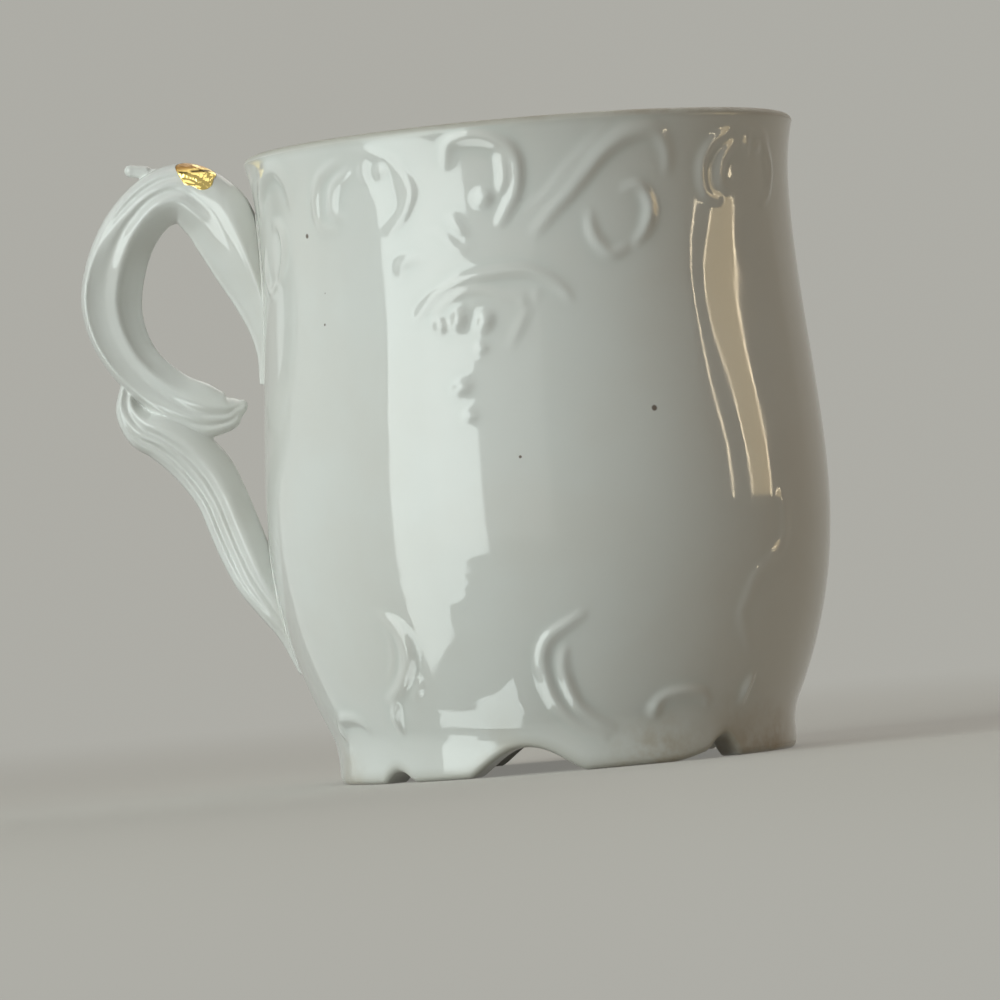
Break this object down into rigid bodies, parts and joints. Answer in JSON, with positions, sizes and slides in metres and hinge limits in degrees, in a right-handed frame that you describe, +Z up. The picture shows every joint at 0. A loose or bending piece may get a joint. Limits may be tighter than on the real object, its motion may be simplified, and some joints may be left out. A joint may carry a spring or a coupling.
{
  "type": "espresso cup",
  "caption": "White porcelain demitasse cup with moulded rococo scrolls, a scalloped foot, a scroll handle and a worn gilt thumb rest.",
  "frame": {"origin": "on the cup's axis, in the plane that the foot stands on", "axes": "+Z up towards the rim, -X towards the handle, -Y towards the panel seen in the picture"},
  "size_m": [0.0721, 0.0556, 0.0627],
  "materials": {
    "glazed_porcelain": "clear gloss glaze",
    "handle_porcelain": "clear gloss glaze",
    "fired_slip": "clear gloss glaze",
    "gilding": "burnished gold, worn"
  },
  "bodies": {
    "root": {"cup_body": "glazed_porcelain", "handle": "handle_porcelain", "upper_luting_slip": "fired_slip", "lower_luting_slip": "fired_slip", "thumb_gilding": "gilding"}
  },
  "joints": []
}
